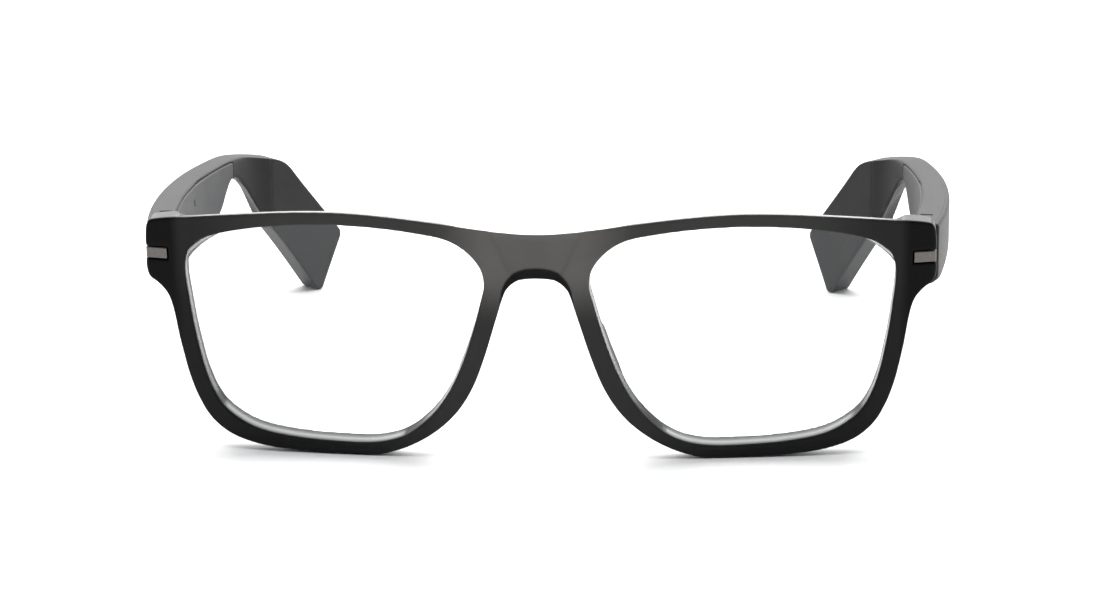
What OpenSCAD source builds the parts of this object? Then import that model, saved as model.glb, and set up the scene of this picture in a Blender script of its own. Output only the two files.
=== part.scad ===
// Smart glasses: a full-rim front with two folding temples that hold the electronics.
// Frame: millimetres, +Z up, the front faces -Y, +X is the wearer's left.
// The glasses stand open on the lower rims and the temple tips, with the origin under their middle.

/* [Front] */
// Depth of the rims from front to back
rim_depth = 4.4; // [4:0.1:5]
// Radius of the wrap of the front, seen from above
wrap_r = 360; // [340:10:400]
// Forward lean of the front, in degrees
front_lean = 5; // [4.5:0.1:5.5]
// Thickness of the lenses
lens_thickness = 2; // [1.6:0.1:2.2]
// Height of the metal corner inlays
inlay_h = 2.1; // [1.6:0.1:2.6]

/* [Temples] */
// Thickness of the temples
temple_t = 5.6; // [5.4:0.1:5.8]
// Thickness of the moulded walls
wall = 1; // [0.8:0.1:1.1]
// Thickness of the inner covers
cover_t = 0.9; // [0.7:0.05:0.9]

/* [Hinges] */
// Radius of the hinge knuckles
knuckle_r = 1.5; // [1.4:0.05:1.6]
// Radius of the hinge screws
screw_r = 0.7; // [0.5:0.05:0.8]

/* [Electronics] */
// Length of the battery cells
battery_l = 26; // [18:1:26]
// Travel of the press button
button_travel = 0.4; // [0.2:0.05:0.45]

/* [Hidden] */

// The front's middle at the table, before the whole part is centred
front_y = 2.2;
front_z = -0.11;
front_cut_depth = 20;
// The row's origin lies under the middle of the part's box
part_centre_y = 61.83;

// Outline of one half of the front, from the top of the bridge out to the corner and back to the
// nose arch. Each point is [x, z] in the plane of the front.
outer_half = [
    [0, 44.1], [9, 44.8], [18, 46.1], [27, 47.1], [36, 47.6], [45, 47.3], [54, 46.5], [63, 45.5],
    [70.4, 44.5], [72, 43.6], [72.5, 41.5], [72.6, 37.5], [72.6, 34.6], [72, 32.9], [70.3, 31.7],
    [68.6, 29.8], [67.6, 26.6], [66.6, 21], [65, 14.5], [63.2, 9.8], [60.8, 6], [57, 3], [51, 1],
    [43.5, 0.2], [36, 0], [30.5, 0.1], [26.5, 1.1], [22.5, 2.9], [18.3, 5.8], [14.8, 9.5],
    [12, 14.2], [9.8, 20], [7.7, 26.9], [6.3, 31.5], [5.3, 33.8], [3.4, 35.3], [0, 35.8]
];
// Outline of one lens opening, the same way
lens_opening = [
    [64.9, 37.3], [63.9, 39.6], [61.8, 41.3], [58, 42.9], [52, 44.3], [45, 45.1], [37, 45.4],
    [29, 45.05], [22, 44.2], [16.5, 42.9], [12.9, 40.8], [10.3, 37.6], [9.6, 34.2], [10.3, 30.8],
    [12, 24.6], [14.4, 17.6], [17.3, 11.8], [20.7, 7.5], [25, 4.2], [30.5, 2.65], [38, 2.5],
    [46, 2.95], [52.5, 4.1], [57, 6.4], [60, 9.5], [62.2, 14.8], [63.8, 22.5], [64.8, 30],
    [65.2, 34.5]
];
// The lens sits in a groove this far beyond the opening
lens_overlap = 0.8;
lens_play = 0.05;
lens_set_back = 1.2;
// Nose pads: the ends of each pad's centre line, [x, y, z] in the plane of the front
pad_top = [10.9, 5, 23.5];
pad_bottom = [14, 6.2, 13];
pad_r = 1.8;

// The corner blocks reach back to the joint with the temples
joint_y = 11.7;
joint_gap = 0.15;
block_x = 64;
block_z = 30;
block_top = [7.5, 45.1, 26];

// Plan of a temple's middle line: where it starts, its heading outward from straight back, and
// its stretches as [length, turn in degrees]
temple_start = [70.35, joint_y + joint_gap];
temple_splay = 9.5;
temple_plan = [[50, -9.5], [30, -6], [9, -6], [10, -33], [25, 0]];
// Heights of the top and bottom edges along the temple, as [distance, z]
top_edge = [
    [-4, 43.4], [0, 43], [60, 37], [88, 33.9], [94, 32.8], [99, 31.7], [102, 31], [104.2, 30],
    [105.6, 28.7], [106.9, 27], [108.9, 24.4], [119.3, 11.7]
];
bottom_edge = [
    [-4, 31.6], [0, 31.3], [33, 30.3], [50, 28.5], [62, 26.2], [69, 25.1], [73, 25.7], [77, 28.1],
    [80.5, 29.9], [84, 30.4], [88, 29.3], [92, 26], [97, 19.8], [101.8, 14.2], [107.1, 7], [111.9, 0.4],
    [112.2, 0], [113.2, 0], [118.7, 10.9], [119.3, 11.3]
];
tip_join = 100.4;
temple_end = 119.1;
half_t = temple_t / 2;
edge_chamfer = 0.8;
cavity_end = 80;
part_gap = 0.05;

// The steel strip through the bend: thickness and upright height, and its pocket's stations
core_size = [0.8, 2];
core_stops = [for (i = [0 : 16]) cavity_end - 1.4 + i * 2.2];

// Hinge
hinge = [67, 12.2];
knuckle_gap = 0.05;
outer_knuckle_h = 2.4;
middle_knuckle_h = 2.9;
knuckle_z1 = 33.5;
knuckle_z2 = knuckle_z1 + outer_knuckle_h;
knuckle_z3 = knuckle_z2 + middle_knuckle_h + 2 * knuckle_gap;
knuckle_z4 = knuckle_z3 + outer_knuckle_h;
hinge_h = knuckle_z4 - knuckle_z1;
hinge_clearance = 0.2;
running_play = 0.04;
screw_head_h = 0.6;
screw_head_r = 1.2;
leaf_plate_t = 1.1;
front_leaf_box = [65.9, 70.5, 10.2, 11.6];
temple_leaf_end = 12;
leaf_screw_s = [6, 10];
leaf_screw_r = 0.6;
leaf_head_r = 1.05;
leaf_head_h = 0.5;
leaf_boss_r = 1.3;
leaf_n = -half_t + cover_t + 0.15;

// Electronics, each placed by its distance along the temple
battery_s = 47.4;
battery_h = 6;
battery_t = 3;
battery_n = -0.15;
board_s = [13.5, 33.5];
board_rise = 0.6;
board_h = 4.6;
board_t = 0.8;
board_n = -0.9;
speaker_s = 65.5;
speaker_size = [3.2, 8, 5.4];
mesh_size = [1.9, 7, 0.3];
mesh_hole_r = 0.28;
mesh_pitch = -9;
mic_size = [2, 3, 1];
mic_port = [2.3, 0.5];
mic_port_s = 1.9;
contact_s = [27, 31];
contact_r = 0.9;
light_s = 44.5;
light_size = [0.5, 1.3];
light_drop = 4.4;
button_s = 18;
button_size = [2.4, 7];
button_stand = 0.25;
button_cap = 0.5;
button_flange = [0.35, 0.3];
button_stem = 0.4;
switch_h = 1.2;

// ---- curves ----

function spline_point(a, b, c, d, t) =
    0.5 * (2 * b + (c - a) * t + (2 * a - 5 * b + 4 * c - d) * t * t + (3 * b - a - 3 * c + d) * t * t * t);

// A smooth closed curve through the points
function closed_curve(points, steps = 2) =
    let(n = len(points))
    [for (i = [0 : n - 1], k = [0 : steps - 1])
        let(a = points[(i + n - 1) % n], b = points[i], c = points[(i + 1) % n], d = points[(i + 2) % n])
        spline_point(a, b, c, d, k / steps)];

function unit(v) = v / norm(v);

// Moves each point of a closed anticlockwise curve outward
function grown(points, distance) =
    let(n = len(points))
    [for (i = [0 : n - 1])
        let(along = unit(points[(i + 1) % n] - points[(i + n - 1) % n]))
        points[i] + distance * [along[1], -along[0]]];

// Half an outline, followed by its mirror image
function both_halves(half) =
    let(n = len(half))
    concat(half, [for (i = [n - 2 : -1 : 1]) [-half[i][0], half[i][1]]]);

// One stretch of the temple's plan: [x, y, heading]
function stretch_end(x, y, heading, length, turn) =
    abs(turn) < 0.001
        ? [x + length * sin(heading), y + length * cos(heading), heading]
        : let(r = length / turn * 180 / PI)
            [x + r * (cos(heading) - cos(heading + turn)), y + r * (sin(heading + turn) - sin(heading)),
             heading + turn];

// The temple's middle line at a distance along it: [x, y, heading]
function station(s, i = 0, from = [temple_start[0], temple_start[1], temple_splay]) =
    let(length = temple_plan[i][0], turn = temple_plan[i][1])
    s <= length || i == len(temple_plan) - 1
        ? stretch_end(from[0], from[1], from[2], s, turn * s / length)
        : station(s - length, i + 1, stretch_end(from[0], from[1], from[2], length, turn));

// The point n outward of the middle line
function side_point(s, n, z) =
    let(p = station(s))
    [p[0] + n * cos(p[2]), p[1] - n * sin(p[2]), z];

function top_z(s) = lookup(s, top_edge);
function bottom_z(s) = lookup(s, bottom_edge);
function middle_z(s) = (top_z(s) + bottom_z(s)) / 2;

// ---- building blocks ----

module place() {
    translate([0, -part_centre_y, 0]) children();
}

// The right side is the mirror image of the left
module on_side(side) {
    place() mirror([side == "right" ? 1 : 0, 0, 0]) children();
}

module lean() {
    translate([0, front_y, front_z]) rotate([front_lean, 0, 0]) children();
}

// An outline in the plane of the front, cut straight through it
module through_front(points) {
    translate([0, front_cut_depth, 0]) rotate([90, 0, 0])
        linear_extrude(height = front_cut_depth + 4) polygon(points);
}

// A layer of the wrapped front between two depths
module wrap_layer(near, far) {
    difference() {
        translate([0, wrap_r, -5]) cylinder(r = wrap_r - near, h = 60, $fn = 240);
        translate([0, wrap_r, -6]) cylinder(r = wrap_r - far, h = 62, $fn = 240);
    }
}

// Places a child on the temple: +Y runs along it, +X is outward
module at_station(s, n, z) {
    p = station(s);
    translate(side_point(s, n, z)) rotate([0, 0, -p[2]]) children();
}

// A bar that follows the temple's plan between two depths, with its own bottom and top curves
module bar(stops, n_in, n_out, low, high, chamfer = 0) {
    c = chamfer;
    count = len(stops);
    sides = c > 0 ? 8 : 4;
    points = [for (s = stops)
        let(b = low(s), t = high(s), e = min(c, (t - b) / 3))
        for (q = c > 0
            ? [[n_in, b + e], [n_in + e, b], [n_out - e, b], [n_out, b + e],
               [n_out, t - e], [n_out - e, t], [n_in + e, t], [n_in, t - e]]
            : [[n_in, b], [n_out, b], [n_out, t], [n_in, t]])
        side_point(s, q[0], q[1])];
    walls = [for (i = [0 : count - 2], k = [0 : sides - 1])
        let(a = i * sides + k, b = i * sides + (k + 1) % sides)
        [a, b, b + sides, a + sides]];
    start_cap = [[for (k = [sides - 1 : -1 : 0]) k]];
    end_cap = [[for (k = [0 : sides - 1]) (count - 1) * sides + k]];
    polyhedron(points = points, faces = concat(walls, start_cap, end_cap), convexity = 6);
}

function evenly(from, to, step) =
    let(n = ceil((to - from) / step))
    [for (i = [0 : n]) from + (to - from) * i / n];

// ---- front ----

module nose_pad() {
    hull() {
        translate(pad_top) sphere(r = pad_r, $fn = 32);
        translate(pad_bottom) sphere(r = pad_r, $fn = 32);
    }
}

// The block behind each outer corner, cut to slope down to the temple's top
module corner_block() {
    difference() {
        intersection() {
            lean() intersection() {
                through_front(closed_curve(both_halves(outer_half)));
                translate([0, wrap_r, -5]) cylinder(r = wrap_r, h = 60, $fn = 240);
            }
            translate([block_x, 0, block_z]) cube([12, joint_y, 20]);
        }
        translate([block_x - 1, block_top[0], block_top[1]]) rotate([-block_top[2], 0, 0])
            cube([14, 12, 8]);
    }
}

module hinge_pocket() {
    box = front_leaf_box;
    g = part_gap;
    translate([box[0] - g, box[2] - g, knuckle_z1 - g])
        cube([box[1] - box[0] + 2 * g, 4, hinge_h + 2 * g]);
    translate([hinge[0], hinge[1], knuckle_z1 - g])
        cylinder(r = knuckle_r + hinge_clearance, h = hinge_h + screw_head_h + 4 * g, $fn = 48);
}

module inlay_shape(gap) {
    z_low = 37.85 - inlay_h / 2 - gap;
    lean() {
        intersection() {
            wrap_layer(-0.01, 0.6 + gap);
            translate([68.5 - gap, -1, z_low]) cube([3.6 + gap, 16, inlay_h + 2 * gap]);
        }
        translate([72 - gap, 7.6, z_low]) cube([0.55 + gap, 2 + gap, inlay_h + 2 * gap]);
    }
}

module front_frame() {
    outline = closed_curve(both_halves(outer_half));
    opening = closed_curve(lens_opening);
    color([0.16, 0.16, 0.17]) place() difference() {
        union() {
            lean() intersection() {
                through_front(outline);
                wrap_layer(0, rim_depth);
            }
            for (m = [0, 1]) mirror([m, 0, 0]) {
                corner_block();
                lean() nose_pad();
            }
        }
        for (m = [0, 1]) mirror([m, 0, 0]) {
            lean() through_front(opening);
            lean() intersection() {
                through_front(grown(opening, lens_overlap + lens_play));
                wrap_layer(lens_set_back - lens_play, lens_set_back + lens_thickness + lens_play);
            }
            hinge_pocket();
            inlay_shape(part_gap);
        }
    }
}

module lens(side) {
    color([0.9, 0.94, 0.95, 0.3]) on_side(side) lean() intersection() {
        through_front(grown(closed_curve(lens_opening), lens_overlap));
        wrap_layer(lens_set_back, lens_set_back + lens_thickness);
    }
}

module corner_inlay(side) {
    color([0.62, 0.58, 0.55]) on_side(side) inlay_shape(0);
}

// ---- hinge ----

module front_hinge_leaf(side) {
    box = front_leaf_box;
    color([0.7, 0.7, 0.72]) on_side(side) difference() {
        union() {
            translate([box[0], box[2], knuckle_z1]) cube([box[1] - box[0], box[3] - box[2], hinge_h]);
            for (z = [knuckle_z1, knuckle_z3]) {
                translate([hinge[0], hinge[1], z]) cylinder(r = knuckle_r, h = outer_knuckle_h, $fn = 48);
                translate([box[0], box[2], z])
                    cube([2 * (hinge[0] - box[0]), hinge[1] - box[2], outer_knuckle_h]);
            }
        }
        translate([hinge[0], hinge[1], knuckle_z2])
            cylinder(r = knuckle_r + hinge_clearance, h = knuckle_z3 - knuckle_z2, $fn = 48);
        translate([hinge[0], hinge[1], knuckle_z1 - 1])
            cylinder(r = screw_r + running_play, h = hinge_h + 2, $fn = 48);
    }
}

module hinge_screw(side) {
    color([0.8, 0.8, 0.82]) on_side(side) translate([hinge[0], hinge[1], 0]) {
        translate([0, 0, knuckle_z1]) cylinder(r = screw_r, h = hinge_h + part_gap, $fn = 48);
        difference() {
            translate([0, 0, knuckle_z4 + part_gap]) cylinder(r = screw_head_r, h = screw_head_h, $fn = 48);
            translate([-2, -0.15, knuckle_z4 + screw_head_h - 0.2]) cube([4, 0.3, 1]);
        }
    }
}

// The leaf's plate lies inside the temple, under the inner cover
module leaf_plate(s_from, s_to, n, thickness, play) {
    z = knuckle_z2 + knuckle_gap - play;
    at_station(0, n - play, z) translate([0, s_from, 0])
        cube([thickness + 2 * play, s_to - s_from, middle_knuckle_h + 2 * play]);
}

module leaf_web(play) {
    translate([hinge[0], hinge[1] + 0.15 - play, knuckle_z2 + knuckle_gap - play])
        cube([2.9 + play, 1.2 + 2 * play, middle_knuckle_h + 2 * play]);
}

module temple_hinge_leaf(side) {
    color([0.7, 0.7, 0.72]) on_side(side) difference() {
        union() {
            translate([hinge[0], hinge[1], knuckle_z2 + knuckle_gap])
                cylinder(r = knuckle_r, h = middle_knuckle_h, $fn = 48);
            leaf_web(0);
            leaf_plate(0.6, temple_leaf_end, leaf_n, leaf_plate_t, 0);
        }
        translate([hinge[0], hinge[1], knuckle_z1]) cylinder(r = screw_r + running_play, h = 8, $fn = 48);
        for (s = leaf_screw_s) leaf_screw(s, part_gap, true);
    }
}

// A screw from the inner side, through the leaf and into a boss on the shell's outer wall
module leaf_screw(s, play, long) {
    z = knuckle_z2 + knuckle_gap + middle_knuckle_h / 2;
    at_station(0, leaf_n, z) translate([0, s, 0]) rotate([0, 90, 0]) {
        translate([0, 0, long ? -1 : 0])
            cylinder(r = leaf_head_r + play, h = (long ? 1 : 0) + leaf_head_h, $fn = 32);
        cylinder(r = leaf_screw_r + play, h = 3, $fn = 32);
    }
}

module leaf_screws(side) {
    color([0.75, 0.75, 0.77]) on_side(side) for (s = leaf_screw_s) leaf_screw(s, 0, false);
}

module hinge_relief() {
    translate([hinge[0], hinge[1], knuckle_z1 - 0.6])
        cylinder(r = knuckle_r + hinge_clearance + 0.05, h = hinge_h + screw_head_h + 1.2, $fn = 48);
}

// ---- temples ----

module joint_face() {
    translate([50, 0, 20]) cube([40, joint_y + joint_gap, 40]);
}

module mic_slot() {
    at_station(mic_port_s, -mic_port[0] / 2, top_z(mic_port_s) - wall - 0.4)
        cube([mic_port[0], mic_port[1], wall + 2]);
}

module mesh_seat(play, depth) {
    size = mesh_size;
    at_station(speaker_s, 0, bottom_z(speaker_s)) rotate([mesh_pitch, 0, 0])
        translate([-size[0] / 2 - play, -size[1] / 2 - play, -0.1])
            cube([size[0] + 2 * play, size[1] + 2 * play, depth]);
}

module button_shape(play, z_low, height) {
    r = button_size[0] / 2;
    reach = button_size[1] / 2 - r;
    at_station(button_s, 0, z_low) {
        for (y = [-reach, reach]) translate([0, y, 0]) cylinder(r = r + play, h = height, $fn = 32);
        translate([-r - play, -reach, 0]) cube([2 * r + 2 * play, 2 * reach, height]);
    }
}

module temple_shell(side) {
    body_stops = concat(evenly(-3, 88, 7), evenly(89.5, tip_join - part_gap, 1.9));
    cavity_stops = evenly(1.3, cavity_end, 6.5);
    rebate_stops = evenly(0.9, cavity_end + 3, 6.5);
    color([0.13, 0.13, 0.14]) on_side(side) difference() {
        union() {
            difference() {
                bar(body_stops, -half_t, half_t, function(s) bottom_z(s), function(s) top_z(s), edge_chamfer);
                bar(cavity_stops, -half_t - 0.5, half_t - wall,
                    function(s) bottom_z(s) + wall, function(s) top_z(s) - wall);
                bar(rebate_stops, -half_t - 0.6, -half_t + cover_t + part_gap,
                    function(s) bottom_z(s) + 0.5, function(s) top_z(s) - 0.5);
            }
            for (s = leaf_screw_s)
                at_station(0, leaf_n + leaf_plate_t + 0.02, knuckle_z2 + knuckle_gap + middle_knuckle_h / 2)
                    translate([0, s, 0]) rotate([0, 90, 0]) cylinder(r = leaf_boss_r, h = 3, $fn = 32);
        }
        for (s = leaf_screw_s) leaf_screw(s, 0.02, true);
        core_pocket();
        joint_face();
        hinge_relief();
        leaf_web(0.1);
        mic_slot();
        mesh_seat(part_gap, 0.45);
        mesh_seat(-0.35, 3);
        if (side == "right") button_shape(0.12, bottom_z(button_s) - 2, wall + 3);
    }
}

module inner_cover(side) {
    stops = evenly(1.2, cavity_end + 2.9, 6.5);
    color([0.2, 0.2, 0.21]) on_side(side) difference() {
        bar(stops, -half_t, -half_t + cover_t, function(s) bottom_z(s) + 0.55, function(s) top_z(s) - 0.55);
        hinge_relief();
        leaf_web(0.1);
        for (s = contact_s) charging_contact(s, part_gap);
        if (side == "right") light_pipe(part_gap);
    }
}

module temple_tip(side) {
    tip_stops = concat(evenly(tip_join, 111.9, 1.6), [112.2, 113.2, 115, 116.9, 118.7, temple_end]);
    color([0.27, 0.26, 0.26]) on_side(side) difference() {
        bar(tip_stops, -half_t, half_t, function(s) bottom_z(s), function(s) top_z(s), edge_chamfer);
        core_pocket();
    }
}

// A bendable steel strip inside the bend, which lets the tip be fitted to the ear
module core_strip(side) {
    color([0.7, 0.7, 0.7]) on_side(side)
        core_bar([for (i = [1 : len(core_stops) - 2]) core_stops[i]], 0);
}

module core_bar(stops, play) {
    half_w = core_size[0] / 2 + play;
    half_h = core_size[1] / 2 + play;
    bar(stops, -half_w, half_w, function(s) middle_z(s) - half_h, function(s) middle_z(s) + half_h);
}

module core_pocket() {
    core_bar(core_stops, part_gap);
}

// ---- electronics ----

// A pouch cell with rounded long sides
module battery(side) {
    r = battery_t / 2;
    pitch = atan((middle_z(battery_s + 5) - middle_z(battery_s - 5)) / 10);
    color([0.75, 0.76, 0.78]) on_side(side) at_station(battery_s, battery_n, middle_z(battery_s))
        rotate([pitch, 0, 0]) translate([0, -battery_l / 2, 0]) {
            for (z = [-1, 1]) translate([0, 0, z * (battery_h / 2 - r)])
                rotate([-90, 0, 0]) cylinder(r = r, h = battery_l, $fn = 32);
            translate([-r, 0, -battery_h / 2 + r]) cube([battery_t, battery_l, battery_h - battery_t]);
        }
}

module circuit_board(side) {
    s_mid = (board_s[0] + board_s[1]) / 2;
    length = board_s[1] - board_s[0];
    chips = [[-6.5, 4.6, 4.2], [0.5, 3.2, 3.4], [5.5, 2.4, 2]];
    color([0.1, 0.32, 0.2]) on_side(side) at_station(s_mid, board_n, middle_z(s_mid) + board_rise)
        rotate([-3.4, 0, 0]) {
            translate([0, -length / 2, -board_h / 2]) cube([board_t, length, board_h]);
            for (c = chips) translate([board_t - 0.01, c[0] - c[1] / 2, -c[2] / 2]) cube([0.9, c[1], c[2]]);
        }
}

module speaker(side) {
    size = speaker_size;
    color([0.35, 0.35, 0.36]) on_side(side) at_station(speaker_s, -0.05, middle_z(speaker_s)) {
        translate([-size[0] / 2, -size[1] / 2, -size[2] / 2 + 0.3]) cube([size[0], size[1], size[2] - 0.3]);
        translate([0, 0, -size[2] / 2]) cylinder(r = 1.3, h = 0.4, $fn = 32);
    }
}

module speaker_mesh(side) {
    color([0.5, 0.5, 0.5]) on_side(side) difference() {
        intersection() {
            mesh_seat(0, 1);
            at_station(speaker_s, 0, bottom_z(speaker_s)) rotate([mesh_pitch, 0, 0])
                translate([-5, -10, 0.02]) cube([10, 20, mesh_size[2]]);
        }
        for (x = [-0.45, 0.45], i = [-3 : 3])
            at_station(speaker_s, 0, bottom_z(speaker_s) - 1) rotate([mesh_pitch, 0, 0])
                translate([x, i * 0.9, 0]) cylinder(r = mesh_hole_r, h = 3, $fn = 16);
    }
}

module microphone(side) {
    size = mic_size;
    color([0.8, 0.78, 0.7]) on_side(side)
        at_station(mic_port_s, -size[0] / 2, top_z(mic_port_s) - wall - size[2] - 0.35)
            translate([0, -0.4, 0]) cube(size);
}

module charging_contact(s, play) {
    at_station(s, -half_t + 0.1 - play, middle_z(s)) rotate([0, 90, 0])
        cylinder(r = contact_r + play, h = board_n + half_t - 0.15 + play, $fn = 32);
}

module charging_contacts(side) {
    color([0.85, 0.68, 0.3]) on_side(side) for (s = contact_s) charging_contact(s, 0);
}

module light_pipe(play) {
    at_station(light_s, -half_t + 0.02 - play, top_z(light_s) - light_drop - play)
        translate([0, -light_size[0] / 2 - play, 0])
            cube([1, light_size[0] + 2 * play, light_size[1] + 2 * play]);
}

module status_light() {
    color([0.75, 0.8, 0.85]) on_side("right") light_pipe(0);
}

module press_button() {
    low = bottom_z(button_s) - button_stand;
    color([0.16, 0.16, 0.17]) on_side("right") {
        button_shape(0, low, wall + button_cap);
        button_shape(button_flange[0], low + wall + button_cap, button_flange[1]);
        at_station(button_s, 0, low) translate([-0.5, -0.5, 0]) cube([1, 1, wall + button_cap + button_stem]);
    }
}

module button_switch() {
    low = bottom_z(button_s) - button_stand + wall + button_cap + button_stem + button_travel + 0.05;
    color([0.6, 0.6, 0.62]) on_side("right") at_station(button_s, 0, low)
        translate([-0.9, -1.5, 0]) cube([1.9, 3, switch_h]);
}

front_frame();
lens("left");  // left_lens
lens("right");  // right_lens
corner_inlay("left");  // left_corner_inlay
corner_inlay("right");  // right_corner_inlay
front_hinge_leaf("left");  // left_front_hinge_leaf
front_hinge_leaf("right");  // right_front_hinge_leaf
hinge_screw("left");  // left_hinge_screw
hinge_screw("right");  // right_hinge_screw
temple_hinge_leaf("left");  // left_temple_hinge_leaf
temple_hinge_leaf("right");  // right_temple_hinge_leaf
leaf_screws("left");  // left_leaf_screws
leaf_screws("right");  // right_leaf_screws
temple_shell("left");  // left_temple_shell
temple_shell("right");  // right_temple_shell
inner_cover("left");  // left_inner_cover
inner_cover("right");  // right_inner_cover
temple_tip("left");  // left_temple_tip
temple_tip("right");  // right_temple_tip
core_strip("left");  // left_core_strip
core_strip("right");  // right_core_strip
battery("left");  // left_battery
battery("right");  // right_battery
circuit_board("left");  // left_circuit_board
circuit_board("right");  // right_circuit_board
speaker("left");  // left_speaker
speaker("right");  // right_speaker
speaker_mesh("left");  // left_speaker_mesh
speaker_mesh("right");  // right_speaker_mesh
microphone("left");  // left_microphone
microphone("right");  // right_microphone
charging_contacts("left");  // left_charging_contacts
charging_contacts("right");  // right_charging_contacts
status_light();
press_button();
button_switch();
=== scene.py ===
"""Smart glasses: the looks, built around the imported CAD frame.

Lengths are in millimetres until a mesh is made, and in metres in the materials and on the stage.
"""
import math

import bmesh
import bpy
import numpy as np
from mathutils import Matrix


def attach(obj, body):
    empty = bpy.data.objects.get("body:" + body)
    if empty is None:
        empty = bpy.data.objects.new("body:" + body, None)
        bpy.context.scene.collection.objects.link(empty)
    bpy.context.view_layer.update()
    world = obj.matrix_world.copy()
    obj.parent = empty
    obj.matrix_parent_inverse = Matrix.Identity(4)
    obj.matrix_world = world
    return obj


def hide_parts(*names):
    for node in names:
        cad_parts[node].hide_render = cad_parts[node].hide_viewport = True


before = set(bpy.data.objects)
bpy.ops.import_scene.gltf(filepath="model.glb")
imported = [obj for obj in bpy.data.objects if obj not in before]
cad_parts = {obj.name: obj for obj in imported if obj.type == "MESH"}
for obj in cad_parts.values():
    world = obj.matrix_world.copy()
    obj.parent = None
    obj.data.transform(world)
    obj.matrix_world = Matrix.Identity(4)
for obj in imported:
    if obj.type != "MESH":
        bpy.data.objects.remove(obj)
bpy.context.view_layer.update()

import openvdb
from mathutils import Matrix, Vector

MM = 0.001

# ---- the design's sizes ----
# They follow the CAD source, with small differences that only the looks need. Along a temple, s is the
# distance from its start, n goes outward across it and z goes up.

RIM_DEPTH = 4.4
WRAP_R = 360
LEAN = math.radians(5)
FRONT_Y = 2.2
FRONT_Z = -0.11
PART_CENTRE_Y = 61.83
OUTER_HALF = [
    (0, 44.4), (9, 45.05), (18, 46.15), (27, 47.1), (36, 47.6), (45, 47.3), (54, 46.5), (63, 45.5),
    (70.4, 44.5), (72, 43.6), (72.5, 41.5), (72.6, 37.5), (72.6, 34.6), (72, 32.9), (70.3, 31.7),
    (68.7, 29.7), (67.8, 26.5), (66.9, 20.9), (65.5, 14.3), (63.8, 9.4), (61.4, 5.4), (57.4, 2.4),
    (51.3, 0.7), (43.5, 0.1), (36, 0), (30.5, 0.1), (26.5, 1.1), (22.5, 2.9), (18.3, 5.8),
    (14.8, 9.5), (12, 14.2), (9.8, 20), (7.7, 26.9), (6.3, 31.4), (5.3, 33.5), (3.4, 34.85),
    (0, 35.15),
]
LENS_OPENING = [
    (64.9, 37.3), (63.9, 39.5), (61.8, 41.1), (58, 42.5), (52, 43.8), (45, 44.7), (37, 45.1),
    (29, 44.8), (22, 44), (16.5, 42.9), (12.9, 40.8), (10.3, 37.6), (9.6, 34.2), (10.3, 30.8),
    (12, 24.6), (14.4, 17.6), (17.3, 11.8), (20.7, 7.5), (25, 4.2), (30.5, 2.65), (38, 2.5),
    (46, 2.95), (52.5, 4.1), (57, 6.4), (60, 9.5), (62.2, 14.8), (63.8, 22.5), (64.8, 30),
    (65.2, 34.5),
]
LENS_SET_BACK = 1.2
LENS_THICKNESS = 2
LENS_OVERLAP = 0.8
PAD_ENDS = ((10.9, 5, 23.5), (14, 6.2, 13))
PAD_R = 1.8
PAD_FILLET = 1.2
JOINT_Y = 11.7
JOINT_GAP = 0.15
HINGE = (67, 12.2)
HINGE_Z = (33.5, 41.3)
FRONT_KNUCKLE = (1.7, HINGE_Z[0] - 0.05, 42.05)
TEMPLE_KNUCKLE = (1.75, HINGE_Z[0] - 0.6, 42.5)
INLAY_Z = 37.85
INLAY_H = 2.1
INLAY_X = 68.5
INLAY_BACK = 9.6
INLAY_THICKNESS = 0.6
INLAY_SUNK = 0.06
INLAY_PLAY = 0.22
INLAY_POCKET_DEPTH = 0.75

TEMPLE_START = (70.35, JOINT_Y + JOINT_GAP)
TEMPLE_SPLAY = 9.5
TEMPLE_PLAN = [(50, -9.5), (30, -6), (9, -6), (10, -33), (25, 0)]
TOP_EDGE = [
    (-6, 43.6), (0, 43), (60, 37), (88, 33.9), (94, 32.8), (99, 31.7), (102, 31), (104.2, 30),
    (105.6, 28.7), (106.9, 27), (108.9, 24.4), (119.1, 11.9, 1.3),
]
BOTTOM_EDGE = [
    (-6, 31.7), (0, 31.3), (33, 30.3), (50, 28.5), (62, 26.2), (69, 25.1), (73, 25.7), (77, 28.1),
    (80.5, 29.9), (84, 30.4), (88, 29.3), (92, 26), (97, 19.8), (101.8, 14.2), (107.1, 7),
    (111.95, 0, 0.5), (113.25, 0, 0.7),
]
HALF_T = 2.8
WALL = 1
COVER_T = 0.9
COVER_S = (1.3, 82.8)
COVER_INSET = 0.57
CAVITY = (1.3, 80)
REBATE = (0.9, 82.85)
REBATE_INSET = 0.45
TIP_JOIN = 100.4
CORE_S = (78.6, 113.8)
CORE_HALF = (0.45, 1.05)
LEAF_SCREWS = (6, 10)
LEAF_Z = 37.4
BOSS_R = 1.3
BOSS_N = (-0.63, HALF_T - WALL + 0.1)
SCREW_HOLE_R = 0.62
SCREW_HOLE_N = 1.27
LEAF_WEB = ((67, 70), (12.25, 13.65), (35.85, 38.95))
SPEAKER_S = 65.5
SPEAKER_SEAT = (3.55, 1, 0.4)
SPEAKER_HOLE = (3.15, 0.6, 3)
CONTACTS = (27, 31)
CONTACT_HOLE_R = 0.98
LIGHT_S = 44.5
LIGHT_DROP = 4.4
LIGHT_SLIT = (0.34, -0.09, 1.39)
BUTTON_S = 18
BUTTON_R = 1.2
BUTTON_REACH = 2.3
BUTTON_PLAY = 0.12
BUTTON_PROUD = 0.25
BUTTON_HOLE_DEPTH = 3

# ---- distance fields: negative inside a shape, positive outside ----


def smooth(t):
    """0 below 0, 1 above 1, and a soft step between."""
    t = np.clip(t, 0, 1)
    return t * t * (3 - 2 * t)


def ramp(value, start, length):
    """Rises smoothly from 0 at the start to 1 after the length, which is negative to rise downwards."""
    return smooth((value - start) / length)


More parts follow.
